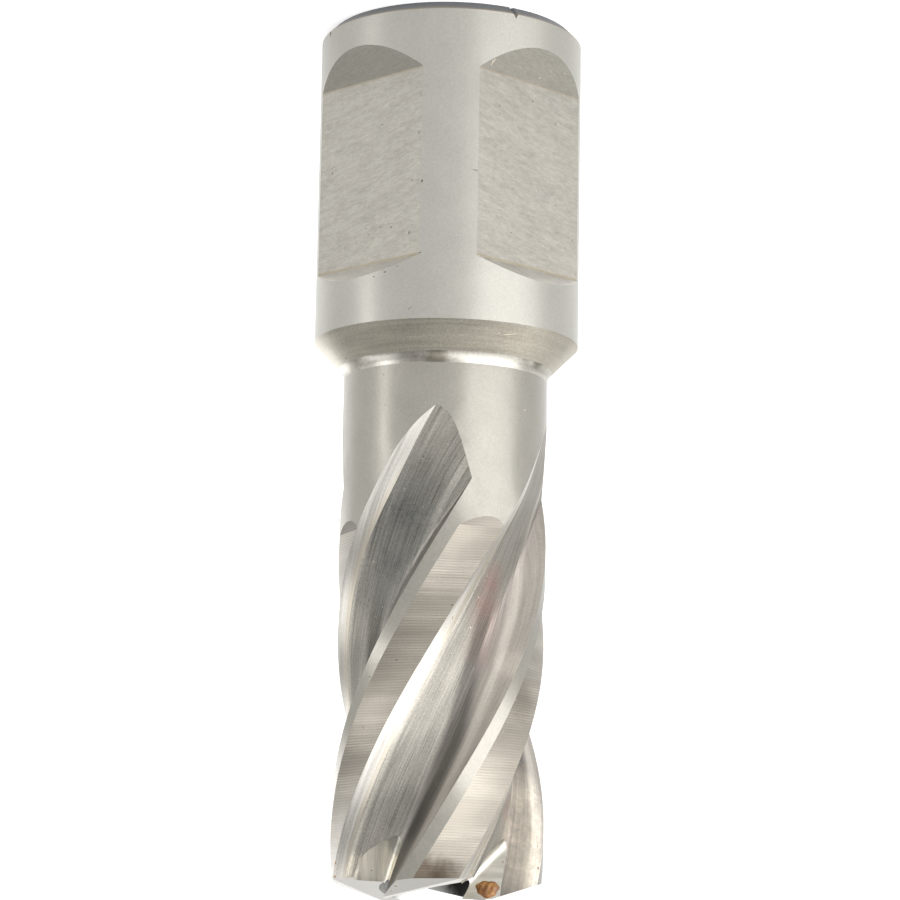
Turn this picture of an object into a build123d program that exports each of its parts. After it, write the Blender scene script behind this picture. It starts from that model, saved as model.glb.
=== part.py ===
from build123d import *
from build123d.topology import SkipClean
import math
import os

os.makedirs("parts", exist_ok=True)

# All lengths in mm, all angles in degrees. The cutter stands on its shank end,
# its axis is +Z and its teeth are at the top.

# Shank
shank_d = 19.05
shank_len = 23.1  # end face to the corner of the shoulder
end_chamfer = 0.7
shoulder_angle = 45.0
shoulder_root_r = 1.1
pilot_d = 6.4
pilot_chamfer = 0.6

# Two nicks in the edge of the shank end
nick_azimuths = (-118.3, -22.4)
nick_reaches = (1.03, 1.15)  # end face to where each nick runs out on the wall
nick_w = 0.38  # width at the chamfer's edge

# Two drive flats at right angles
flat_depth = 1.525
flat_start = 4.86  # end face to the flat's first edge
collar_len = 4.58  # the flat's last edge to the corner of the shoulder
ramp_shank_side = 2.1
ramp_tooth_side = 1.25
flat_azimuths = (-135.0, -45.0)

# Cutting body
neck_d = 14.66
neck_len = 3.505  # foot of the shoulder to the point of the flutes' run-out
cutter_d = 15.0  # at the tips; the body tapers back to the neck
wall = 3.5  # cutting diameter to the slug cavity
slug_depth = 34.0
tooth_count = 4
first_tooth_azimuth = -90.0
lead = 78.9
edge_lead_angle = 25.9  # margin edge ahead of its tooth's own axis, at the tips

# Flute section and its run-out towards the shank
flute_len = 33.9  # tips to the point of the run-out
runout_len = 5.1  # point of the run-out to the start of the margin edge
rake_depth = 2.85
rake_lean = 33.0
rake_sink_len = 12.0  # axial length over which the rake wall gets its depth
foot_r = 0.9
foot_r_at_point = 0.08
break_depth = 0.82
break_sink_len = 10.0
break_angle = 51.0
break_angle_at_point = 44.0
break_turn_start = 4.0  # the break's angle changes from here
break_turn_len = 8.0
heel_facet_angle = 38.0
heel_facet_angle_at_point = 12.0
heel_turn_len = 11.0

# Ground relief of each land
margin_w = 1.08
land_angle = 29.7
relief_drop = 0.15
relief_len = 26.1  # tips to the top of the relief's arch
relief_arch = 0.6

# Tooth ends
tip_drop = 0.05
tip_inset = 2.25  # cutting diameter to the tip
tip_angle = 42.0  # tip ahead of its tooth's own axis
inner_clearance = 0.21
inner_slope = 0.036
outer_clearance = 0.03
outer_slope = 0.32
gash_slope = 1.05
gash_depth = 3.41  # gash floor, measured down from the tips at the tip's own place
gash_w = 2.55
gash_wall_gap = 0.04
gash_wall_lean = 0.33
gash_side_lean = 0.3
gash_r = 0.6

shank_r = shank_d / 2
flat_end = shank_len - collar_len
neck_r = neck_d / 2
cutter_r = cutter_d / 2
slug_r = cutter_r - wall
foot_z = shank_len + (shank_r - neck_r) / math.tan(math.radians(shoulder_angle))
point_z = foot_z + neck_len
overall = point_z + flute_len
tip_z = overall - tip_drop
tip_out = (cutter_r - tip_inset) * math.cos(math.radians(tip_angle))
tip_ahead = (cutter_r - tip_inset) * math.sin(math.radians(tip_angle))
pitch_angle = 360.0 / tooth_count
over = 1.5  # how far a cutting tool runs past the face it leaves by


def body_r(z):
    """Radius of the back-tapered body at height z."""
    return neck_r + (cutter_r - neck_r) * (z - foot_z) / (overall - foot_z)


def smooth(x):
    """Smooth step from 0 to 1."""
    x = min(max(x, 0.0), 1.0)
    return x * x * (3 - 2 * x)


def sink(x, length):
    """Depth share of a ground groove at x past its exit: a parabola that levels off at length."""
    return 1.0 - (1.0 - min(x / length, 1.0)) ** 2


def edge_azimuth(z):
    """Azimuth of the margin edge of the first tooth, counted from that tooth's own axis."""
    return edge_lead_angle + 360.0 / lead * (z - overall)


def place(ahead, out, z):
    """Point of the flute section at height z: ahead of the margin edge and out from the axis."""
    a = math.radians(edge_azimuth(z))
    x = out * math.cos(a) - ahead * math.sin(a)
    y = out * math.sin(a) + ahead * math.cos(a)
    return Vector(x, y, z)


def polar(angle, radius):
    """Section coordinates (ahead, out) of a point given by its angle ahead of the margin edge."""
    return radius * math.sin(math.radians(angle)), radius * math.cos(math.radians(angle))


def flute_section(z):
    """Closed outline of what the grinding wheel takes away at height z."""
    t = z - point_z
    # Break between the heel facet and the floor
    br = body_r(z) - break_depth * sink(t, break_sink_len)
    turn = smooth((t - break_turn_start) / break_turn_len)
    ba = break_angle_at_point + (break_angle - break_angle_at_point) * turn
    bx, by = polar(ba, br)
    # Foot of the rake wall
    depth = rake_depth * sink(t - runout_len, rake_sink_len)
    share = max(depth, 0.0) / rake_depth
    lean = math.radians(rake_lean * share)
    fx = depth * math.sin(lean)
    fy = body_r(z) - depth * math.cos(lean)
    # Heel facet, from the break out past the heel
    slope = heel_facet_angle_at_point
    slope += (heel_facet_angle - heel_facet_angle_at_point) * smooth(t / heel_turn_len)
    facet = math.radians(ba - slope)
    hx = bx + 0.8 * cutter_r * math.cos(facet)
    hy = by - 0.8 * cutter_r * math.sin(facet)
    # Rake wall, from the foot out past the margin edge
    wx, wy = -math.sin(lean), math.cos(lean)
    reach = max(depth, 0.0) + cutter_r / 2
    ox, oy = fx + reach * wx, fy + reach * wy
    # Fillet at the foot
    span = math.hypot(bx - fx, by - fy)
    dx, dy = (bx - fx) / span, (by - fy) / span
    half = math.acos(dx * wx + dy * wy) / 2
    r = foot_r * share + foot_r_at_point
    cut = r / math.tan(half)
    mx, my = dx + wx, dy + wy
    away = (r / math.sin(half) - r) / math.hypot(mx, my)
    f_floor = place(fx + cut * dx, fy + cut * dy, z)
    f_mid = place(fx + away * mx, fy + away * my, z)
    f_wall = place(fx + cut * wx, fy + cut * wy, z)
    b = place(bx, by, z)
    h = place(hx, hy, z)
    o = place(ox, oy, z)
    top = place(*polar(ba / 2, 1.9 * cutter_r), z)
    edges = [
        Edge.make_line(h, b),
        Edge.make_line(b, f_floor),
        Edge.make_three_point_arc(f_floor, f_mid, f_wall),
        Edge.make_line(f_wall, o),
        Edge.make_three_point_arc(o, top, h),
    ]
    return Wire(edges)


def relief_section(z, lift):
    """Closed outline of the flat relief behind the margin, lifted out by lift."""
    r = body_r(z) + lift
    m = math.degrees(margin_w / body_r(z))
    p = place(*polar(-m, r), z)
    q = place(*polar(-land_angle, r - relief_drop), z)
    far = q + (q - p) * 0.35
    far_out = place(*polar(-1.25 * land_angle, r + 2 * over), z)
    top = place(*polar(-(m + land_angle) / 2, r + 3 * over), z)
    near_out = place(*polar(-m, r + 2 * over), z)
    edges = [
        Edge.make_line(p, far),
        Edge.make_line(far, far_out),
        Edge.make_three_point_arc(far_out, top, near_out),
        Edge.make_line(near_out, p),
    ]
    return Wire(edges)


def round_array(tool):
    """The tool at every tooth."""
    return [Rot(0, 0, first_tooth_azimuth + pitch_angle * k) * tool for k in range(tooth_count)]


def half_space(point, normal):
    """A big block on the side of the plane that the normal points to."""
    size = 2 * overall
    block = Box(size, size, size, align=(Align.CENTER, Align.CENTER, Align.MIN))
    return Plane(origin=point, z_dir=normal) * block


def nick_tool(azimuth, reach):
    """V-shaped tool at 45 degrees that runs out on the shank's wall at the height reach."""
    plane = Plane(origin=(shank_r, 0, reach), x_dir=(0, 1, 0), z_dir=(-1, 0, -1))
    side = nick_w / math.sqrt(2) / (reach - end_chamfer)
    groove = extrude(plane * Polygon((0, 0), (side, 1), (-side, 1), align=None), 2 * reach, both=True)
    return Rot(0, 0, azimuth) * groove


def standing_cylinder(radius, low, high):
    """A cylinder on the axis from the height low to the height high."""
    cylinder = Cylinder(radius, high - low, align=(Align.CENTER, Align.CENTER, Align.MIN))
    return Pos(0, 0, low) * cylinder


# Turned body, its shank wall in three rings that meet at the ends of the flats
outline = Polyline(
    (0, 0),
    (shank_r - end_chamfer, 0),
    (shank_r, end_chamfer),
    (shank_r, flat_start),
    (shank_r, flat_end),
    (shank_r, shank_len),
    (neck_r, foot_z),
    (cutter_r, overall),
    (0, overall),
    close=True,
)
profile = make_face(Plane.XZ * outline).face()
foot = profile.vertices().sort_by(lambda v: abs(v.X - neck_r) + abs(v.Z - foot_z))[0]
turned = Solid.revolve(profile.fillet_2d(shoulder_root_r, [foot]), 360, Axis.Z)

# Drive flats with a ramp at each end
flat_r = shank_r - flat_depth
flat_profile = Plane.XZ * Polygon(
    (flat_r, flat_start),
    (flat_r + 2 * flat_depth, flat_start - 2 * ramp_shank_side),
    (flat_r + 2 * flat_depth, flat_end + 2 * ramp_tooth_side),
    (flat_r, flat_end),
    align=None,
)
flat_tool = extrude(flat_profile, shank_d, both=True)
flat_tools = [Rot(0, 0, a) * flat_tool for a in flat_azimuths]

nick_tools = [nick_tool(a, reach) for a, reach in zip(nick_azimuths, nick_reaches)]

# Flutes: sections crowd together towards the point of the run-out
section_count = 17
flute_heights = [point_z + flute_len * (k / section_count) ** 1.6 for k in range(section_count + 1)]
flute_heights = [point_z - over / 2] + flute_heights + [overall + over]
flute_tool = Solid.make_loft([flute_section(z) for z in flute_heights])

# Reliefs: the arch where the wheel went in, then the flat along the helix
arch_z = overall - relief_len
arch_end = arch_z + relief_arch
arch_low = relief_section(arch_z - over / 10, relief_drop * 1.5)
arch_tool = Solid.make_loft([arch_low, relief_section(arch_end, 0.0)], True)
relief_steps = 10
relief_run = (overall + over - arch_end) / relief_steps
relief_tool = Solid.make_loft(
    [relief_section(arch_end + relief_run * k, 0.0) for k in range(relief_steps + 1)]
)

# Gashes that open the flutes to the slug cavity
gash_corner_ahead = tip_ahead + gash_wall_gap - gash_wall_lean * gash_depth
gash_point = Vector(tip_out, gash_corner_ahead, tip_z - gash_depth)
gash_dir = Vector(1, -gash_wall_lean * gash_slope, -gash_slope).normalized()
along_floor = Vector(gash_slope, 0, 1).cross(gash_dir).normalized()
along_wall = gash_dir.cross(Vector(0, 1, -gash_wall_lean)).normalized()
gash_plane = Plane(origin=gash_point, x_dir=along_floor, z_dir=gash_dir)
wall_end = gash_plane.to_local_coords(gash_point + along_wall * 1.2 * cutter_r)
gash_outline = Polygon(
    (0, 0),
    (gash_w, 0),
    (gash_w + gash_side_lean * wall_end.Y, wall_end.Y),
    (wall_end.X, wall_end.Y),
    align=None,
)
gash_feet = gash_outline.vertices().sort_by(Axis.Y)[0:2]
gash_tool = extrude(gash_plane * fillet(gash_feet, gash_r), 1.6 * cutter_r, both=True)

# Clearance faces of the tooth ends, from each cutting edge back to the next
tip = Vector(tip_out, tip_ahead, tip_z)
edge_line = tip_ahead + 2 * gash_wall_gap
far_side = 1.6 * cutter_r
roof_area = Polygon(
    (0, 0),
    (0, edge_line),
    (far_side, edge_line),
    (far_side, -far_side),
    (edge_line, -far_side),
    (edge_line, 0),
    align=None,
)
roof_block = Pos(0, 0, tip_z - cutter_r) * extrude(roof_area, 2 * cutter_r, dir=(0, 0, 1))
inner_face = half_space(tip, Vector(inner_slope, -inner_clearance, 1))
outer_face = half_space(tip, Vector(outer_slope, -outer_clearance, 1))
roof_tools = [roof_block & inner_face, roof_block & outer_face]

# Bores
pilot_bore = standing_cylinder(pilot_d / 2, -over, overall)
pilot_lead_in = Cone(
    pilot_d / 2 + pilot_chamfer,
    pilot_d / 2,
    pilot_chamfer,
    align=(Align.CENTER, Align.CENTER, Align.MIN),
)
slug_bore = standing_cylinder(slug_r, overall - slug_depth, overall + over)

cutter = turned
with SkipClean():
    for tool in nick_tools + flat_tools:
        cutter = cutter - tool
    for tool in round_array(flute_tool) + round_array(relief_tool) + round_array(arch_tool):
        cutter = cutter - tool
    cutter = cutter - pilot_bore - pilot_lead_in - slug_bore
    for tool in round_array(gash_tool):
        cutter = cutter - tool
    for roof in roof_tools:
        for tool in round_array(roof):
            cutter = cutter - tool


export_step(cutter, "parts/cutter.step")
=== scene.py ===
from math import cos, pi, radians, sin

import bpy
import numpy as np
from mathutils import Matrix, Vector
from mathutils.bvhtree import BVHTree


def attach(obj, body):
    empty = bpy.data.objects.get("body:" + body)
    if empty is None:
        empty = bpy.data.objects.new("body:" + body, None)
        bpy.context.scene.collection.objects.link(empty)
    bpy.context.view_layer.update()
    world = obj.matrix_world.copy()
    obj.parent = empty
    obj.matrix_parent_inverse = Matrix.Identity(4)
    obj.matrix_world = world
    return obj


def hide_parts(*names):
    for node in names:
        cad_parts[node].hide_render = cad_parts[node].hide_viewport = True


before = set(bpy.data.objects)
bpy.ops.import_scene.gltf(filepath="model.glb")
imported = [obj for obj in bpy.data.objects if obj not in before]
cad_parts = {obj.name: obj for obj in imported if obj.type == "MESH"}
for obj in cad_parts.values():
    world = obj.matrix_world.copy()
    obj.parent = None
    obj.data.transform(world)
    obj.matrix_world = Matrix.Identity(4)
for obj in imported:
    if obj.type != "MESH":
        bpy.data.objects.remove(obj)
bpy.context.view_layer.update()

# Sizes of the cutter that the finish follows, in mm and degrees
SHANK_LEN, FLAT_R, FLAT_AZIMUTHS, FLAT_ENDS = 23.1, 8.0, (-135, -45), (4.86, 18.52)
PILOT_R, SLUG_R = 3.2, 4.0
NECK_R, CUTTER_R, FOOT_Z, TIP_Z = 7.33, 7.5, 25.295, 62.7
LEAD, EDGE_AZIMUTH, LINE_PITCH = 78.9, 25.9, 0.19
UNROLL_R, TEETH = 6.5, 4

# Camera: beside the teeth, with the shank end up in the picture; sizes in metres and in pixels
CAMERA_PLACE = Vector((0, -0.2154, 0.0695))
PITCH, ROLL, PAN = radians(10.22), radians(1.06), radians(0.11)
PIXELS, FOCAL = 900, 3045.0


def camera_matrix():
    """Looks along y, upside down: panned, then pitched, then rolled by the fitted angles."""
    side, ahead = Vector((cos(PAN), 0, -sin(PAN))), Vector((sin(PAN), 0, cos(PAN)))
    upright = Vector((0, cos(PITCH), 0)) + sin(PITCH) * ahead
    ahead = Vector((0, -sin(PITCH), 0)) + cos(PITCH) * ahead
    across = cos(ROLL) * side - sin(ROLL) * upright
    down = sin(ROLL) * side + cos(ROLL) * upright
    axes = [
        Vector((-across.x, across.z, across.y)),
        Vector((down.x, -down.z, -down.y)),
        Vector((ahead.x, -ahead.z, -ahead.y)),
    ]
    return Matrix.Translation(CAMERA_PLACE) @ Matrix(axes).transposed().to_4x4()


def place_camera():
    data = bpy.data.cameras.new("camera")
    camera = bpy.data.objects.new("camera", data)
    bpy.context.scene.collection.objects.link(camera)
    camera.matrix_world = camera_matrix()
    data.sensor_width = 36
    data.lens = data.sensor_width * FOCAL / PIXELS
    data.clip_start, data.clip_end = 0.001, 100
    bpy.context.scene.camera = camera


# Shader helpers
class Tree:
    """Adds nodes to one node tree, with their links and values given together."""

    def __init__(self, tree):
        self.tree = tree

    def node(self, kind, props=None, **sockets):
        """A new node; a socket is named by its key, or by i and its number."""
        node = self.tree.nodes.new(kind)
        for key, value in (props or {}).items():
            setattr(node, key, value)
        for key, value in sockets.items():
            self.put(node, key, value)
        return node

    def add(self, kind, out=0, props=None, **sockets):
        return self.node(kind, props, **sockets).outputs[out]

    def put(self, node, key, value):
        socket = node.inputs[int(key[1:]) if key[0] == "i" and key[1:].isdigit() else key]
        if isinstance(value, bpy.types.NodeSocket):
            self.tree.links.new(value, socket)
        else:
            socket.default_value = value

    def math(self, op, a, b=0.0, c=0.0, clamp=False):
        props = {"operation": op, "use_clamp": clamp}
        return self.add("ShaderNodeMath", props=props, i0=a, i1=b, i2=c)

    def scale(self, vector, factor):
        props = {"operation": "SCALE"}
        return self.add("ShaderNodeVectorMath", 0, props, i0=vector, Scale=factor)

    def times(self, vector, other):
        props = {"operation": "MULTIPLY"}
        return self.add("ShaderNodeVectorMath", 0, props, i0=vector, i1=other)

    def xyz(self, vector):
        return self.node("ShaderNodeSeparateXYZ", i0=vector).outputs

    def turn(self, vector, angle):
        """The vector turned about z."""
        props = {"rotation_type": "Z_AXIS"}
        return self.add("ShaderNodeVectorRotate", 0, props, Vector=vector, Angle=angle)

    def rise(self, value, low, high, to_low=0.0, to_high=1.0):
        """A smooth step from to_low at low to to_high at high."""
        props = {"interpolation_type": "SMOOTHSTEP"}
        ends = {"i1": low, "i2": high, "i3": to_low, "i4": to_high}
        return self.add("ShaderNodeMapRange", 0, props, i0=value, **ends)

    def band(self, value, centre, half, soft):
        """1 within half of the centre, falling to 0 over soft."""
        gap = self.math("ABSOLUTE", self.math("SUBTRACT", value, centre))
        return self.rise(gap, half, half + soft, 1.0, 0.0)

    def mix(self, share, a, b, blend="MIX"):
        props = {"data_type": "RGBA", "blend_type": blend}
        return self.add("ShaderNodeMix", 2, props, i0=share, i6=a, i7=b)

    def noise(self, vector, scale, detail=2.0, rough=0.5):
        sockets = {"Vector": vector, "Scale": scale, "Detail": detail, "Roughness": rough}
        return self.add("ShaderNodeTexNoise", 0, **sockets)

    def wander(self, *noise):
        """The noise with its middle at 0."""
        return self.math("SUBTRACT", self.noise(*noise), 0.5)

    def place(self):
        """The object coordinates, in metres."""
        return self.tree.nodes.new("ShaderNodeTexCoord").outputs["Object"]

    def group(self, tree, **sockets):
        return self.node("ShaderNodeGroup", {"node_tree": tree}, **sockets).outputs


def new_material(name):
    """A new material, its tree and its Principled BSDF."""
    material = bpy.data.materials.new(name)
    material.use_nodes = True
    return material, Tree(material.node_tree), material.node_tree.nodes["Principled BSDF"]


def make_group(name, inputs, outputs, build):
    """A shader node group with these named sockets; build fills it."""
    tree = bpy.data.node_groups.new(name, "ShaderNodeTree")
    for key, kind, value in inputs:
        socket = tree.interface.new_socket(key, in_out="INPUT", socket_type="NodeSocket" + kind)
        if value is not None:
            socket.default_value = value
    for key, kind in outputs:
        tree.interface.new_socket(key, in_out="OUTPUT", socket_type="NodeSocket" + kind)
    t = Tree(tree)
    start = tree.nodes.new("NodeGroupInput").outputs
    end = tree.nodes.new("NodeGroupOutput").inputs
    for key, value in build(t, start).items():
        tree.links.new(value, end[key])
    return tree


def helix_build(t, start):
    """Degrees of a point ahead of a cutting edge, its z in mm, both unrolled flat in metres, and
    the point turned by quarter turns to the first tooth."""
    z = t.xyz(start["Position"])[2]
    turned = t.xyz(t.turn(start["Position"], t.math("MULTIPLY", z, -2000 * pi / LEAD)))
    bearing = t.math("MULTIPLY", t.math("ARCTAN2", turned[1], turned[0]), 180 / pi)
    bearing = t.math("SUBTRACT", bearing, EDGE_AZIMUTH - 360 / LEAD * TIP_Z)
    ahead = t.math("FLOORED_MODULO", bearing, 360 / TEETH)
    back = t.math("MULTIPLY", t.math("SUBTRACT", ahead, bearing), pi / 180)
    along = t.math("MULTIPLY", ahead, UNROLL_R / 1000 * pi / 180)
    return {
        "Unrolled": t.add("ShaderNodeCombineXYZ", 0, i0=along, i2=z),
        "First": t.turn(start["Position"], back),
        "Ahead": ahead,
        "Height": t.math("MULTIPLY", z, 1000.0),
    }


def groove_build(t, start):
    """Painted shade and highlight along a flute, in degrees ahead of the edge and mm of height: a
    painted dark hollow that drifts with the height and fades out at the flute's start, a painted
    bright lip that nears the edge towards the tip, and a painted bright far side."""
    ahead, z = start["Ahead"], start["Height"]
    bend, lip_start, lip_place, hollow_place = 52.0, 45.0, 8.5, 14.0
    below = t.math("MINIMUM", t.math("MAXIMUM", t.math("SUBTRACT", bend, z), 0.0), 9.0)
    above = t.math("MAXIMUM", t.math("SUBTRACT", z, bend), 0.0)
    shifted = t.math("MULTIPLY_ADD", below, -1.7, ahead)
    shifted = t.math("MULTIPLY_ADD", above, 0.4, shifted)
    # Painted shade: a dark band down the flute's hollow
    hollow = t.band(shifted, hollow_place, 3.0, 7.0)
    # Painted highlight: a bright band along the lip
    lip = t.math("MAXIMUM", t.math("SUBTRACT", z, lip_start), 0.0)
    lip = t.math("MULTIPLY_ADD", lip, -0.5, lip_place)
    lip = t.band(t.math("SUBTRACT", ahead, lip), 0.0, 0.8, 2.6)
    # Painted highlight: the flute's far side made lighter
    far = t.rise(ahead, 47.0, 50.5)
    tone = t.math("MULTIPLY_ADD", hollow, t.rise(z, 40.0, 46.0, -0.05, -0.58), 1.0)
    tone = t.math("MULTIPLY_ADD", lip, 0.45, tone)
    return {"Tone": t.math("MULTIPLY_ADD", far, 0.55, tone)}


def grain_build(t, start):
    """Fine marks of a tool: streaks in two sizes, a soft blotch and specks, as a tone about 1."""
    place = start["Position"]
    stretched = t.times(place, start["Stretch"])
    fine, broad = t.wander(stretched, 1.0, 2.0, 0.6), t.wander(stretched, 0.31)
    streak = t.math("MULTIPLY_ADD", broad, 0.6, fine)
    blotch = t.math("MULTIPLY_ADD", t.wander(place, 7000.0, 1.0), 1.4, t.wander(place, 420.0, 3.0))
    tone = t.math("MULTIPLY", streak, start["Streak"])
    tone = t.math("MULTIPLY_ADD", blotch, start["Blotch"], tone)
    return {"Tone": t.math("ADD", tone, 1.0), "Height": streak}


def spot_build(t, start):
    """A soft-edged ball round a centre, with a ragged rim."""
    props = {"operation": "DISTANCE"}
    gap = t.add("ShaderNodeVectorMath", 1, props, i0=start["Position"], i1=start["Centre"])
    share = t.math("DIVIDE", gap, start["Radius"])
    share = t.math("MULTIPLY_ADD", t.wander(start["Position"], 2500.0), start["Ragged"], share)
    return {"Mask": t.rise(share, 0.3, 1.0, 1.0, 0.0)}


def make_groups():
    point, tone = ("Position", "Vector", None), ("Tone", "Float")
    flute_place = [("Ahead", "Float"), ("Height", "Float")]
    turned = [("Unrolled", "Vector"), ("First", "Vector")]
    grain = [("Stretch", "Vector", (1, 1, 1)), ("Streak", "Float", 0.1), ("Blotch", "Float", 0.05)]
    spot = [("Centre", "Vector", (0, 0, 0)), ("Radius", "Float", 0.001), ("Ragged", "Float", 0.3)]
    sockets = {
        "helix": ([point], turned + flute_place, helix_build),
        "groove": ([(*pair, 0.0) for pair in flute_place], [tone], groove_build),
        "grain": ([point] + grain, [tone, ("Height", "Float")], grain_build),
        "spot": ([point] + spot, [("Mask", "Float")], spot_build),
    }
    return {name: make_group(name, *rest) for name, rest in sockets.items()}


def steel(name, colour, rough, stretch, streak, blotch=0.08, **more):
    """Ground or milled steel. stretch is how fine its marks are along x, y and z, per metre. more
    may give bump, their depth in metres; follow, the helix output that they run in; slant, by which
    they climb away from the middle; brushed, how far highlights spread along z; and paint."""
    material, t, shader = new_material(name)
    along = place = t.place()
    if "follow" in more:
        along = t.group(groups["helix"], Position=place)[more["follow"]]
    if "slant" in more:
        x, y, z = t.xyz(place)
        z = t.math("MULTIPLY_ADD", t.math("ABSOLUTE", x), -more["slant"], z)
        along = t.add("ShaderNodeCombineXYZ", 0, i0=x, i1=y, i2=z)
    grain = t.group(groups["grain"], Position=along, Stretch=stretch, Streak=streak, Blotch=blotch)
    tint = t.scale(colour, grain["Tone"])
    if "paint" in more:
        tint = more["paint"](t, place, tint)
    t.put(shader, "Base Color", tint)
    t.put(shader, "Metallic", 1.0)
    t.put(shader, "Roughness", t.math("MULTIPLY_ADD", grain["Height"], 0.15, rough, clamp=True))
    if "brushed" in more:
        t.put(shader, "Anisotropic", more["brushed"])
        t.put(shader, "Anisotropic Rotation", 0.25)
        props = {"direction_type": "RADIAL", "axis": "Z"}
        t.put(shader, "Tangent", t.add("ShaderNodeTangent", 0, props))
    if "bump" in more:
        sockets = {"Height": grain["Height"], "Strength": 1.0, "Distance": more["bump"]}
        t.put(shader, "Normal", t.add("ShaderNodeBump", **sockets))
    return material


# Surroundings
def seen_directly(t):
    """1 where the ray comes from the camera, a mirror or glass."""
    path = t.tree.nodes.new("ShaderNodeLightPath")
    either = t.math("ADD", path.outputs["Is Camera Ray"], path.outputs["Is Glossy Ray"])
    return t.math("ADD", either, path.outputs["Is Transmission Ray"], clamp=True)


def make_world():
    """White to the camera. To the steel, a sky that is warm low down, dims a little upwards and
    towards the picture's left, and brightens behind the tool."""
    world = bpy.data.worlds.new("studio")
    bpy.context.scene.world = world
    world.use_nodes = True
    t = Tree(world.node_tree)
    t.tree.nodes.clear()
    coords = t.tree.nodes.new("ShaderNodeTexCoord").outputs["Generated"]
    side, ahead, height = t.xyz(coords)
    camera = t.tree.nodes.new("ShaderNodeLightPath").outputs["Is Camera Ray"]
    upwards, behind = t.rise(height, 0.35, 0.95, 0.74, 0.58), t.rise(ahead, 0.6, 0.95, 0.0, 0.7)
    sky = t.math("MULTIPLY", t.math("ADD", upwards, behind), t.rise(side, -0.8, 0.8, 1.15, 0.85))
    colour = t.mix(t.rise(height, 0.0, 0.6), (1, 0.99, 0.96, 1), (0.98, 0.98, 0.97, 1))
    colour = t.mix(camera, colour, (1, 1, 1, 1))
    strength = t.add("ShaderNodeMix", 0, None, i0=camera, i2=sky, i3=1.0)
    back = t.add("ShaderNodeBackground", i0=colour, i1=strength)
    t.node("ShaderNodeOutputWorld", i0=back)


def make_floor(radius=8, corners=96):
    """A flat white disc: radius times the cosine and sine of each corner's angle."""
    mesh = bpy.data.meshes.new("floor")
    a = np.linspace(0, 2 * pi, corners + 1)[:-1]
    rim = np.stack([radius * np.cos(a), radius * np.sin(a), 0 * a], axis=1)
    mesh.from_pydata(rim.tolist(), [], [list(range(corners))])
    floor = bpy.data.objects.new("floor", mesh)
    bpy.context.scene.collection.objects.link(floor)
    material, t, shader = new_material("floor")
    t.put(shader, "Base Color", (0.8, 0.8, 0.79, 1))
    t.put(shader, "Roughness", 1.0)
    t.put(shader, "Specular IOR Level", 0.0)
    t.put(shader, "Emission Color", (1, 1, 1, 1))
    t.put(shader, "Emission Strength", t.math("MULTIPLY", seen_directly(t), 0.6))
    mesh.materials.append(material)


def make_lamp(name, azimuth, distance, height, size, power):
    """A soft box aimed at the tool, at a bearing in degrees from the camera's side, positive
    towards the picture's right."""
    data = bpy.data.lights.new(name, "AREA")
    data.shape = "RECTANGLE"
    data.size, data.size_y = size
    data.energy = power
    lamp = bpy.data.objects.new(name, data)
    bpy.context.scene.collection.objects.link(lamp)
    a, aim = radians(azimuth), Vector((0, 0, 0.03))
    lamp.location = Vector((-distance * sin(a), -distance * cos(a), height))
    lamp.rotation_euler = (aim - lamp.location).to_track_quat("-Z", "Y").to_euler()


# The cutter
def corner_places(mesh):
    """The places of the mesh's corners, in metres."""
    places = np.empty(len(mesh.vertices) * 3)
    mesh.vertices.foreach_get("co", places)
    return places.reshape(-1, 3)


def corner_numbers(mesh):
    """For each of the mesh's triangles, the numbers of its three corners."""
    numbers = np.empty(len(mesh.loops), np.int32)
    mesh.loops.foreach_get("vertex_index", numbers)
    return numbers.reshape(-1, 3)


def patches(faces, count):
    """For each face, the number of the smooth patch that it is in: the lowest of the corner numbers
    that the patch's faces share, found by handing the lowest on until nothing changes."""
    label = np.arange(count)
    while True:
        lowest = label.copy()
        np.minimum.at(lowest, faces.ravel(), np.repeat(label[faces].min(axis=1), 3))
        lowest = lowest[lowest]
        if np.array_equal(lowest, label):
            return label[faces[:, 0]]
        label = lowest


# Heights in mm that tell the zones apart; the cuts in the body go by how low their patches reach
BORE_TOP, CHAMFER_TOP, SHANK_CUTS, CONE_TOP, ROOT_TOP = 30, 1.3, (2, 20), 25, 26
REACHES = [("flute", 29), ("foot", 33.95), ("rake", 36), ("arch", 37), ("relief", 40)]
ROOF_LOW, ROOF_TOP, HEEL_R = 61.25, 62.3, 6
LEVEL, CLOSE, MARGIN = 0.01, 0.02, 0.1


def zone_of(p):
    """Name of the zone that a patch with these points, in mm, belongs to."""
    r, z = np.hypot(p[:, 0], p[:, 1]), p[:, 2]
    low, high = z.min(), z.max()
    body_r = NECK_R + (CUTTER_R - NECK_R) * (z - FOOT_Z) / (TIP_Z - FOOT_Z)
    ways = [(cos(radians(a)), sin(radians(a))) for a in FLAT_AZIMUTHS]
    from_flat = min(abs(p[:, 0] * c + p[:, 1] * s - FLAT_R).max() for c, s in ways)
    from_bore = min(abs(r - PILOT_R).max(), abs(r - SLUG_R).max())
    if high < LEVEL:
        return "end"
    if from_bore < CLOSE or high - low < LEVEL and low < BORE_TOP:
        return "bore"
    if high < CHAMFER_TOP:
        return "bore" if r.max() < SLUG_R else "edge"
    if from_flat < CLOSE:
        return "flat"
    if low > SHANK_CUTS[0] and high < FLAT_ENDS[0] + MARGIN:
        return "ramp"
    if low > FLAT_ENDS[1] - MARGIN and high < SHANK_CUTS[1]:
        return "far_ramp"
    if high < SHANK_LEN + MARGIN:
        return "shank"
    if low > SHANK_LEN - MARGIN and high < ROOT_TOP:
        return "cone" if high < CONE_TOP else "root"
    if abs(r - body_r).max() < 0.75 * CLOSE:
        return "body"
    for cut, reach in REACHES:
        if low < reach:
            break
    else:
        cut = "roof" if low > ROOF_LOW and high > ROOF_TOP else "gash"
    if cut == "flute":
        cut = "heel" if r.min() > HEEL_R else "floor_ground"
    return cut
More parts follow.
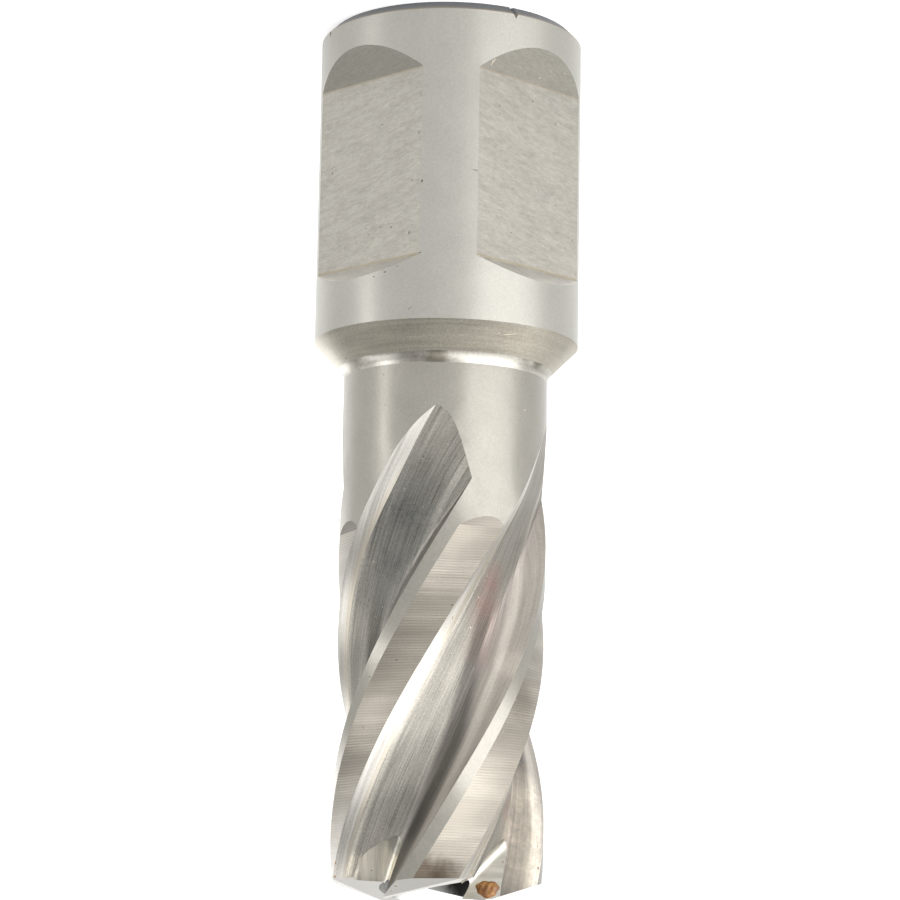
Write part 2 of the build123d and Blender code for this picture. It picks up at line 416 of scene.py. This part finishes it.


# Spots over the steel's tint: each is a pixel of the picture, a radius in mm, a share and a tint
# The pale spots are painted highlight, the dark one painted shade; red, blue, olive and brown tint
# and darken
RED, BLUE, OLIVE = (1.08, 0.76, 0.74, 1), (0.5, 0.53, 0.56, 1), (0.36, 0.34, 0.29, 1)
PAINTED_HIGHLIGHT, PAINTED_SHADE, BROWN = (2.1, 2.05, 1.95, 1), (0.06, 0.06, 0.06, 1), (0.45, 0.4, 0.36, 1)
FLUTE_SPOTS = [
    ((494, 575), 1.6, 0.4, RED), ((488, 596), 2.0, 0.45, RED), ((483, 618), 2.0, 0.35, RED),
    ((477, 650), 1.8, 0.25, RED), ((510, 782), 1.1, 0.7, RED), ((507, 806), 1.5, 0.4, RED),
    # Painted highlight: pale spots that lighten the flutes' rake and floor
    ((517, 785), 2.3, 0.75, PAINTED_HIGHLIGHT), ((519, 805), 2.4, 0.4, PAINTED_HIGHLIGHT), ((521, 825), 2.4, 0.4, PAINTED_HIGHLIGHT),
    ((521, 845), 2.4, 0.4, PAINTED_HIGHLIGHT), ((521, 865), 2.4, 0.4, PAINTED_HIGHLIGHT), ((520, 885), 2.4, 0.5, PAINTED_HIGHLIGHT),
    ((505, 830), 1.8, 0.3, PAINTED_HIGHLIGHT), ((514, 665), 1.6, 0.25, PAINTED_HIGHLIGHT),
    ((415, 492), 3.6, 0.6, BLUE), ((400, 540), 3.8, 0.7, BLUE), ((385, 590), 3.4, 0.6, BLUE),
    ((405, 815), 2.6, 0.4, BLUE), ((356, 868), 1.4, 0.6, PAINTED_HIGHLIGHT),
]
# Darker olive patches on the root ring
ROOT_PATCHES = [
    ((354, 366), 1.2, 0.4, OLIVE), ((408, 358), 1.1, 0.35, OLIVE), ((421, 357), 0.9, 0.3, OLIVE),
    ((436, 357), 1.2, 0.85, OLIVE), ((531, 352), 1.2, 0.75, OLIVE), ((541, 360), 1.0, 0.85, OLIVE),
]
# Warm brown darkening on the land, most towards its bottom
LAND_DARKENING = [
    ((425, 879), 2.3, 1.0, BROWN), ((446, 874), 1.5, 0.7, BROWN), ((522, 702), 2.0, 0.35, BROWN),
]
GASH_SPOTS = [
    # Painted highlight: the pale spot on the gash
    ((376, 862), 3.0, 0.9, PAINTED_HIGHLIGHT), ((398, 850), 0.9, 0.7, BLUE), ((396, 868), 1.0, 0.8, BLUE),
]
# Painted shade: a near-black spot inside the bore
BORE_SHADE = [((463, 883), 2.0, 1.0, PAINTED_SHADE)]


def tint_and_light_spots(spots):
    """A paint that lays these spots of tint, painted highlight and painted shade over the steel's
    tint.
    """

    def paint(t, place, tint):
        for pixel, radius, share, colour in spots:
            spot = {"Position": place, "Centre": at_pixel(*pixel)[0], "Radius": radius / 1000}
            mask = t.group(groups["spot"], Ragged=0.4, **spot)[0]
            tint = t.mix(t.math("MULTIPLY", mask, share), tint, colour, "MULTIPLY")
        return tint

    return paint


def flat_marks(t, place, tint):
    """Tan lines where the flats end, wandering by a few hundredths of a mm."""
    z = t.math("MULTIPLY_ADD", t.wander(place, 900.0), 0.00012, t.xyz(place)[2])
    near = t.band(z, FLAT_ENDS[0] / 1000 + 0.00004, 0.00004, 0.00008)
    far = t.band(z, FLAT_ENDS[1] / 1000 - 0.00006, 0.00005, 0.0001)
    mask = t.math("MULTIPLY", t.math("MAXIMUM", near, far), 0.55)
    return t.mix(mask, tint, (0.25, 0.205, 0.13, 1))


def flute_marks(t, place, tint):
    """Painted shade and highlight along a flute, and the tints and painted highlights the picture
    shows.
    """
    helix = t.group(groups["helix"], Position=place)
    # The tone is painted shade and highlight along the flute
    tone = t.group(groups["groove"], Ahead=helix["Ahead"], Height=helix["Height"])[0]
    return tint_and_light_spots(FLUTE_SPOTS)(t, place, t.scale(tint, tone))


def heel_marks(t, place, tint):
    """A warm line where the facet breaks down to the floor."""
    x, y, _ = t.xyz(place)
    r = t.math("SQRT", t.math("ADD", t.math("MULTIPLY", x, x), t.math("MULTIPLY", y, y)))
    low = t.rise(r, 0.00668, 0.00695, 1.0, 0.0)
    return t.mix(t.math("MULTIPLY", low, 0.5), tint, (0.5, 0.44, 0.34, 1))


def relief_marks(t, place, tint):
    """Fine regular lines across the land, broad bands of painted highlight and shade, warmer where
    darker, and the spots on it.
    """
    drift = t.math("MULTIPLY", t.noise(place, 220.0), 6.0)
    ripple = t.math("MULTIPLY_ADD", t.xyz(place)[2], 2000 * pi / LINE_PITCH, drift)
    depth = t.rise(t.noise(place, 900.0), 0.25, 0.8, 0.04, 0.22)
    ripple = t.math("MULTIPLY", t.math("SINE", ripple), depth)
    tint = t.scale(tint, t.math("ADD", ripple, 1.0))
    # Painted highlight and shade: broad light and dark bands along z, tinted warm where darker
    broad = t.noise(t.times(place, (60, 60, 420)), 1.0)
    tint = t.scale(tint, t.rise(broad, 0.35, 0.65, 1.38, 0.8))
    warm = t.math("MULTIPLY", t.rise(broad, 0.35, 0.7), 0.35)
    return tint_and_light_spots(LAND_DARKENING)(t, place, t.mix(warm, tint, (0.34, 0.31, 0.265, 1)))


def edge_marks(t, place, tint):
    """Dark blue-grey, painted shade on the chamfer that faces the floor, with a tan rim against the
    wall.
    """
    return t.mix(t.rise(t.xyz(place)[2], 0.00045, 0.0007, 0.0, 0.8), tint, (0.26, 0.2, 0.14, 1))


# The steel of each zone: its colour, roughness, marks per metre, streaks, blotches, and more
TURNED, LINES, SATIN = (150, 150, 5200), (220, 220, 5200), (3600, 3600, 1800)
ALONG, FINE, GROUND = (6500, 6500, 160), (9500, 9500, 220), (1900, 1900, 8500)
LEANING, LINED = {"bump": 3e-6, "slant": 0.2}, {"bump": 5e-6, "paint": relief_marks}


def fluted(bump, paint=flute_marks):
    return {"bump": bump, "follow": "Unrolled", "paint": paint}


STEELS = {
    "shank": ((0.324, 0.316, 0.289), 0.4, SATIN, 0.1, 0.14, {"brushed": 0.6}),
    "body": ((0.268, 0.256, 0.229), 0.36, SATIN, 0.12, 0.18, {"brushed": 0.6}),
    "end": ((0.36, 0.35, 0.33), 0.45, TURNED, 0.15, 0.08, {}),
    # Painted shade: the end chamfer's dark blue-grey colour
    "edge": ((0.126, 0.132, 0.14), 0.5, TURNED, 0.1, 0.08, {"paint": edge_marks}),
    "flat": ((0.297, 0.284, 0.255), 0.42, GROUND, 0.6, 0.16, {**LEANING, "paint": flat_marks}),
    # Painted shade and light: one milled finish, darker on the near ramps and lighter on the far
    # ramps for the way each faces the light
    "ramp": ((0.218, 0.208, 0.182), 0.45, GROUND, 0.5, 0.16, LEANING),
    "far_ramp": ((0.47, 0.45, 0.415), 0.45, GROUND, 0.5, 0.16, LEANING),
    "cone": ((0.37, 0.345, 0.29), 0.42, TURNED, 0.4, 0.35, {"bump": 3e-6}),
    "root": (
        (0.395, 0.377, 0.342), 0.36, TURNED, 0.3, 0.35,
        {"bump": 3e-6, "paint": tint_and_light_spots(ROOT_PATCHES)},
    ),
    "heel": ((0.445, 0.427, 0.395), 0.36, ALONG, 1.2, 0.2, fluted(6e-6, heel_marks)),
    "floor_ground": ((0.238, 0.226, 0.202), 0.56, FINE, 1.4, 0.45, fluted(1e-5)),
    "foot": ((0.25, 0.228, 0.208), 0.45, FINE, 1.2, 0.2, fluted(4e-6)),
    "rake": ((0.275, 0.255, 0.23), 0.42, FINE, 0.7, 0.2, fluted(3e-6)),
    "relief": ((0.212, 0.196, 0.17), 0.45, LINES, 0.5, 0.14, LINED),
    "arch": ((0.13, 0.12, 0.105), 0.5, LINES, 0.5, 0.14, LINED),
    "gash": (
        (0.35, 0.335, 0.3), 0.34, (200, 4200, 200), 0.9, 0.06,
        {"bump": 3e-6, "follow": "First", "paint": tint_and_light_spots(GASH_SPOTS)},
    ),
    "roof": ((0.52, 0.505, 0.475), 0.35, SATIN, 0.1, 0.08, {}),
    "bore": ((0.5, 0.5, 0.49), 0.4, TURNED, 0.3, 0.08, {"paint": tint_and_light_spots(BORE_SHADE)}),
}


def make_cutter():
    """A copy of the cutter's surface, with a steel for each way in which it was machined."""
    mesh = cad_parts["cutter"].data.copy()
    mesh.name = "cutter_body"
    piece = bpy.data.objects.new("cutter_body", mesh)
    bpy.context.scene.collection.objects.link(piece)
    mesh.materials.clear()
    for name, finish in STEELS.items():
        mesh.materials.append(steel(name, *finish[:-1], **finish[-1]))
    names, places, faces = list(STEELS), corner_places(mesh) * 1000, corner_numbers(mesh)
    patch = patches(faces, len(places))
    slots = np.zeros(len(faces), np.int32)
    for number in np.unique(patch):
        inside = patch == number
        slots[inside] = names.index(zone_of(places[np.unique(faces[inside])]))
    mesh.polygons.foreach_set("material_index", slots)
    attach(piece, "root")
    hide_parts("cutter")


def make_finder():
    """A function from a pixel of the picture to the place and normal of the steel seen there."""
    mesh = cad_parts["cutter"].data
    tree = BVHTree.FromPolygons(corner_places(mesh).tolist(), corner_numbers(mesh).tolist())
    matrix = camera_matrix()
    right, up, back = [matrix.col[i].to_3d() for i in range(3)]

    def find(x, y):
        ray = right * (x - PIXELS / 2) / FOCAL + up * (PIXELS / 2 - y) / FOCAL - back
        return tree.ray_cast(matrix.translation, ray.normalized())[:2]

    return find


# Small things on the surface
def seat(x, y):
    """Where a pixel of the picture meets the steel: the place, the directions across and up the
    surface, its normal, the length of a pixel there, and whether these three are right-handed."""
    place, normal = at_pixel(x, y)
    right, up = [camera_matrix().col[i].to_3d() for i in (0, 1)]
    across = (right - normal * right.dot(normal)).normalized()
    along = normal.cross(across)
    along = along if along.dot(up) > 0 else -along
    scale = (place - CAMERA_PLACE).length / FOCAL
    handed = across.cross(along).dot(normal) > 0
    return [np.array(v) for v in (place, across, along, normal)] + [scale, handed]


def make_piece(name, points, faces, material, smooth=False):
    mesh = bpy.data.meshes.new(name)
    mesh.from_pydata(points.tolist(), [], faces.tolist())
    mesh.validate()
    if smooth:
        mesh.shade_smooth()
    mesh.update()
    mesh.materials.append(material)
    piece = bpy.data.objects.new(name, mesh)
    bpy.context.scene.collection.objects.link(piece)
    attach(piece, "root")


def dirt_and_glints(name, dark, light, rough, scale=3000.0, detail=2.0, soft=0.15, bump=0.0):
    """Dull dirt, and for the pale flakes partly painted glints, in two colours mixed by a noise of
    this scale per metre.
    """
    material, t, shader = new_material(name)
    crust = t.rise(t.noise(t.place(), scale, detail), 0.5 - soft, 0.5 + soft)
    t.put(shader, "Base Color", t.mix(crust, dark, light))
    t.put(shader, "Roughness", rough)
    if bump:
        t.put(shader, "Normal", t.add("ShaderNodeBump", Height=crust, Strength=0.5, Distance=bump))
    return material


def make_flecks(name, marks, dark, light, sides=9, raised=5e-6, lifted=1e-6):
    """Thin ragged flakes: a raised middle and a rim of radius half size times a random reach.
    Each mark is a pixel, its half width and half height there in pixels, and a turn in degrees."""
    rng = np.random.default_rng(len(marks) * 7 + 3)
    q = np.linspace(0, 2 * pi, sides + 1)[:-1]
    rim_number = 1 + np.arange(sides)
    fan = np.stack([np.zeros(sides, int), rim_number, np.roll(rim_number, -1)], axis=1)
    points, faces = [], []
    for number, (x, y, half_w, half_h, turn) in enumerate(marks):
        place, across, along, normal, scale, handed = seat(x, y)
        reach = (0.75 + 0.4 * rng.random(sides)) * scale
        u, v = half_w * np.cos(q) * reach, half_h * np.sin(q) * reach
        c, s = cos(radians(turn)), sin(radians(turn))
        rim = np.outer(u * c - v * s, across) + np.outer(u * s + v * c, along)
        points.append(np.vstack([place + normal * raised, place + rim + normal * lifted]))
        faces.append((fan if handed else fan[:, ::-1]) + number * (sides + 1))
    make_piece(name, np.vstack(points), np.vstack(faces), dirt_and_glints(name, dark, light, 0.65))


def scatter(count):
    """Marks for fine dust at random pixels of the steel: half sizes of 0.3 to 0.6 of a pixel."""
    rng = np.random.default_rng(5)
    x, y = rng.uniform(325, 575, count), rng.uniform(20, 885, count)
    half, turn = rng.uniform(0.3, 0.6, (2, count)), rng.uniform(0, 180, count)
    marks = zip(x, y, half[0], half[1], turn)
    return [mark for mark in marks if at_pixel(*mark[:2])[0] is not None]


def make_lump(name, pixel, half, rise, rings=14, sides=56):
    """A crusty lump. At share p of the way out and turn q its radius is half times p times
    1 + 0.07 sin 3q + 0.05 sin(7q + 1), and its height is rise times the root of 1 - p squared,
    times 1 plus a slow wave over u and v, less a little that sinks its rim."""
    place, across, along, normal, scale, handed = seat(*pixel)
    turns = np.linspace(0, 2 * pi, sides + 1)[:-1]
    p, q = np.meshgrid(np.linspace(0.02, 1, rings + 1), turns, indexing="ij")
    reach = p * (1 + 0.07 * np.sin(3 * q) + 0.05 * np.sin(7 * q + 1))
    u, v = half[0] * reach * np.cos(q), half[1] * reach * np.sin(q)
    wave = 0.2 * np.sin(0.55 * u + 0.4) * np.sin(0.5 * v - 0.4 * u)
    high = rise / 1000 * np.sqrt(np.maximum(1 - p * p, 0)) * (1 + wave) - 2e-5
    grid = place + scale * (u[..., None] * across + v[..., None] * along) + high[..., None] * normal
    i, k = np.meshgrid(np.arange(rings), np.arange(sides), indexing="ij")
    a, b = (i * sides + k).ravel(), (i * sides + (k + 1) % sides).ravel()
    faces = np.stack([a, a + sides, b + sides, b], axis=1)
    crust = {"scale": 1700.0, "detail": 3.0, "soft": 0.12, "bump": 1.5e-5}
    material = dirt_and_glints(name, (0.125, 0.046, 0.007, 1), (0.25, 0.11, 0.02, 1), 0.4, **crust)
    make_piece(name, grid.reshape(-1, 3), faces if handed else faces[:, ::-1], material, True)


# Each mark is a pixel of the picture, a half width and half height in pixels, and a turn
PITS = [
    (382.4, 124.8, 0.8, 0.8, 0), (419, 132.5, 0.9, 1.4, 0), (332.5, 173.5, 0.7, 1.4, 0),
    (412, 180, 0.9, 0.8, 0), (422, 181, 0.9, 1.8, -10), (417.3, 180, 0.5, 0.6, 0),
    (366, 228.8, 0.6, 0.9, 0), (368.5, 234.6, 0.6, 0.8, 0), (380, 227, 0.5, 1.4, 20),
    (391.2, 227, 0.9, 0.9, 0), (409.2, 232.3, 1.0, 1.8, -20), (355.8, 243.5, 0.6, 0.6, 0),
    (362.3, 246.2, 0.7, 0.6, 0), (533, 101.5, 0.9, 1.1, 30), (499.6, 106, 0.5, 0.8, 0),
    (500, 113.5, 0.4, 1.2, 0), (555.8, 123.8, 1.3, 0.6, 40), (515.4, 177.7, 0.9, 0.5, 0),
    (494.2, 169.2, 0.4, 0.9, 0), (513.5, 188.5, 0.5, 0.9, 0), (530, 198, 0.6, 0.6, 0),
    (555.8, 205.8, 0.6, 0.6, 0), (501.9, 216.5, 0.5, 0.6, 0), (511.5, 232.7, 0.6, 0.6, 0),
    (530.8, 227, 0.6, 0.5, 0), (572.3, 240.4, 0.7, 0.8, 0), (475.5, 170, 3.0, 0.5, -4),
    (374, 276.6, 1.1, 0.6, 10), (385, 272, 1.4, 0.7, 25), (389.5, 265.6, 1.4, 0.6, 20),
    (397.6, 266, 0.8, 0.5, 0), (420, 252.5, 1.3, 0.7, 15), (408.5, 308.8, 0.6, 0.6, 0),
    (410.5, 307.4, 0.5, 0.8, -30), (411.4, 318.4, 0.6, 0.6, 0), (345.6, 358.1, 0.9, 0.8, 0),
    (359.3, 369.5, 0.6, 0.6, 0), (383.7, 374.7, 0.6, 0.7, 0), (372.5, 384.6, 0.5, 0.5, 0),
    (384.7, 404.6, 0.5, 0.5, 0), (384, 389.8, 0.5, 0.5, 0), (396.6, 659.9, 1.5, 0.8, 0),
    (369.6, 676.6, 0.9, 0.8, 0), (452, 604.9, 1.6, 0.8, 10),
]
RUST = [
    (337, 838, 1.0, 2.2, 10), (336, 846, 0.8, 1.6, 0), (338.5, 852, 0.6, 0.8, 0),
    (335.5, 863, 0.8, 1.8, 5), (337, 869, 0.6, 0.9, 0), (335, 877, 1.2, 1.2, 0),
    (341, 881, 0.9, 0.7, 0), (396, 886, 1.4, 1.8, 20), (391.5, 891, 0.8, 1.8, 25),
    (350, 822, 0.5, 0.8, 0), (371.5, 870.5, 0.9, 0.9, 0), (538, 868, 0.8, 1.2, 0),
    (537.5, 846, 0.6, 1.3, 0), (523.5, 765.5, 1.0, 1.3, 0), (472, 872.5, 0.8, 2.6, -20),
    (470, 879, 0.7, 1.5, 10), (503, 862, 0.6, 1.4, 30), (508.5, 845, 0.5, 0.8, 0),
    (363.5, 727.5, 0.7, 1.8, 0), (360.5, 773, 0.6, 0.8, 0), (452.7, 617.5, 0.8, 1.6, -20),
    (383.3, 827.3, 0.8, 0.8, 0),
]
# Pale flakes for white specks and streaks: partly chips, partly painted glints
CHIPS_AND_GLINTS = [
    (492.3, 62.5, 0.4, 3.4, -25), (494.5, 60.5, 0.35, 2.6, -40), (396, 884.4, 0.9, 0.8, 0),
    (485.5, 556.7, 0.5, 0.5, 0), (487.3, 576, 0.6, 0.5, 0), (478.5, 597.5, 0.5, 0.7, 0),
    (484.5, 581, 0.5, 0.5, 0), (516, 700, 0.6, 0.6, 0), (470.5, 627.5, 0.6, 0.8, 0),
    (499, 333.2, 0.7, 0.5, 0), (510, 334.3, 9.0, 0.35, -9), (525, 410, 1.2, 0.6, 10),
]

bpy.context.scene.view_settings.view_transform = "Standard"
at_pixel = make_finder()
groups = make_groups()
place_camera()
make_world()
make_floor()
make_lamp("soft_right", 52, 0.45, 0.11, (0.52, 0.3), 2.2)
make_lamp("box_above", 24, 0.42, 0.38, (0.75, 0.34), 1.5)
make_lamp("strip_left", -71, 0.4, 0.06, (0.05, 0.11), 0.22)
make_lamp("box_left", -85, 0.4, 0.27, (0.25, 0.14), 0.26)
make_lamp("fill_right", 95, 0.4, 0.35, (0.4, 0.3), 0.45)
make_lamp("fill_left", -150, 0.4, 0.07, (0.35, 0.14), 0.28)
make_cutter()
make_flecks("pits", PITS, (0.045, 0.035, 0.025, 1), (0.1, 0.085, 0.06, 1))
make_flecks("rust", RUST, (0.16, 0.09, 0.04, 1), (0.32, 0.2, 0.09, 1))
make_flecks("chips_and_glints", CHIPS_AND_GLINTS, (0.55, 0.48, 0.35, 1), (0.75, 0.7, 0.6, 1))
make_flecks("dust", scatter(150), (0.14, 0.11, 0.08, 1), (0.5, 0.46, 0.4, 1))
make_lump("residue", (487.5, 889), (11.5, 9), 0.3)
